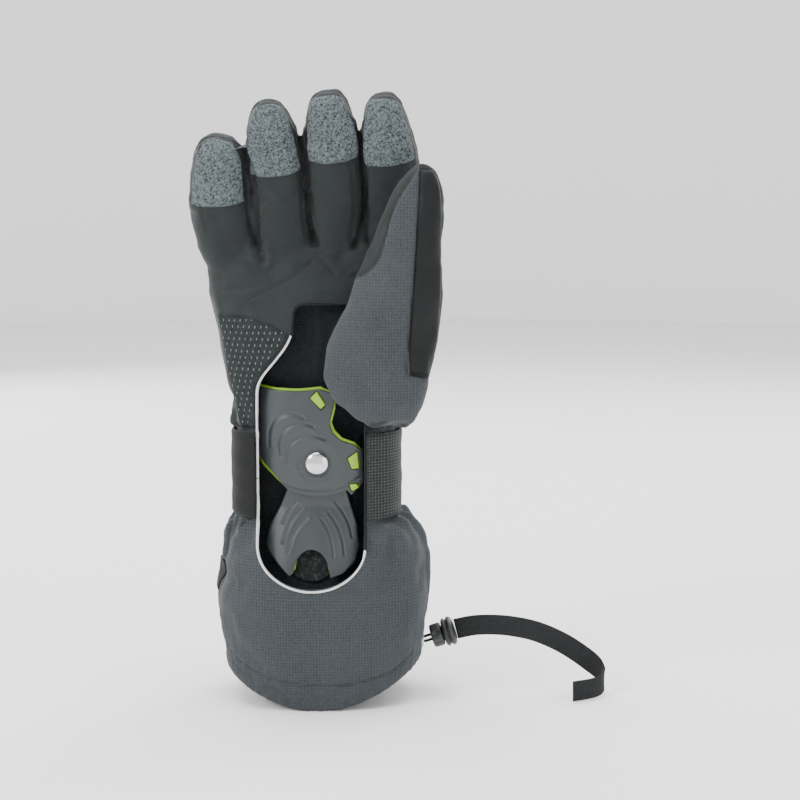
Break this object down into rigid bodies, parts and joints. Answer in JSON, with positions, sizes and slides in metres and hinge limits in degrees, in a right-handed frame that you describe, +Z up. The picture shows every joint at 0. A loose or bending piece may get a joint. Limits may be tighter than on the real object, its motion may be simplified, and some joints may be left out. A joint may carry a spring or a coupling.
{
  "type": "wrist guard",
  "caption": "Right-hand snowboard gauntlet glove whose palm window shows a riveted two-plate wrist brace, with a wrist strap and a leash.",
  "frame": {"origin": "on the ground under the middle of the glove, leash left out", "axes": "+Z up along the forearm to the fingertips, -Y the palm side, +X the thumb side"},
  "size_m": [0.2378, 0.1105, 0.35],
  "materials": {
    "heather_fabric": "coarse woven nylon shell, mottled grey and black",
    "palm_leather": "smooth matte synthetic leather",
    "fingertip_grip": "mottled light grey abrasion cloth",
    "black_lining": "napped black fleece",
    "plate_rubber": "satin grey moulded cover",
    "lime_plastic": "satin lime injection moulding",
    "rivet_steel": "polished dome",
    "strap_webbing": "black woven webbing and loop pile",
    "tab_rubber": "matte moulded rubber",
    "woven_label": "black woven label",
    "reflective_print": "light grey reflective patch",
    "window_edge": "white cut edge",
    "clip_plastic": "black moulded acetal",
    "washer_nylon": "natural nylon"
  },
  "bodies": {
    "forearm": {"gauntlet_shell": "heather_fabric", "gauntlet_lining": "black_lining", "hem_binding": "strap_webbing", "hem_drawcord": "strap_webbing", "cord_eyelet": "rivet_steel", "side_label": "woven_label", "clip_tape": "strap_webbing", "glove_clip": "clip_plastic", "window_edge_lower": "window_edge", "strap_elastic": "strap_webbing", "strap_anchor": "strap_webbing", "forearm_plate_cover": "plate_rubber", "forearm_plate_core": "lime_plastic", "forearm_pad": "black_lining", "pivot_rivet": "rivet_steel", "pivot_washer": "washer_nylon", "rivet_burr": "rivet_steel"},
    "hand": {"hand_shell": "heather_fabric", "hand_lining": "black_lining", "window_edge_upper": "window_edge", "finger_little": "heather_fabric", "finger_ring": "heather_fabric", "finger_middle": "heather_fabric", "finger_index": "heather_fabric", "fingertip_little": "fingertip_grip", "fingertip_ring": "fingertip_grip", "fingertip_middle": "fingertip_grip", "fingertip_index": "fingertip_grip", "thumb": "heather_fabric", "thumb_panel": "palm_leather", "palm_grip": "palm_leather", "index_patch": "reflective_print", "badge_ring": "tab_rubber", "badge_disc": "reflective_print", "hand_plate_cover": "plate_rubber", "hand_plate_core": "lime_plastic"},
    "strap_flap": {"strap_flap": "strap_webbing", "hook_patch": "black_lining", "strap_tab": "tab_rubber", "strap_label": "woven_label"},
    "cord_lock": {"cord_lock_barrel": "clip_plastic"},
    "lock_cap": {"cord_lock_cap": "clip_plastic", "leash_webbing": "strap_webbing"}
  },
  "joints": [
    {"name": "wrist_pivot", "type": "hinge", "parent": "forearm", "child": "hand", "pos_m": [0, -0.0154, 0.1406], "axis": [0, 1, 0], "range_deg": [-12, 12]},
    {"name": "strap_open", "type": "hinge", "parent": "forearm", "child": "strap_flap", "pos_m": [-0.0455, 0.0282, 0.1335], "axis": [0, 0, 1], "range_deg": [0, 105]},
    {"name": "cord_lock_slide", "type": "slide", "parent": "forearm", "child": "cord_lock", "axis": [-0.9511, 0, -0.309], "range_m": [0, 0.0025]},
    {"name": "lock_cap_press", "type": "slide", "parent": "cord_lock", "child": "lock_cap", "axis": [-0.9511, 0, -0.309], "range_m": [0, 0.002], "stiffness_N_per_m": 400}
  ]
}
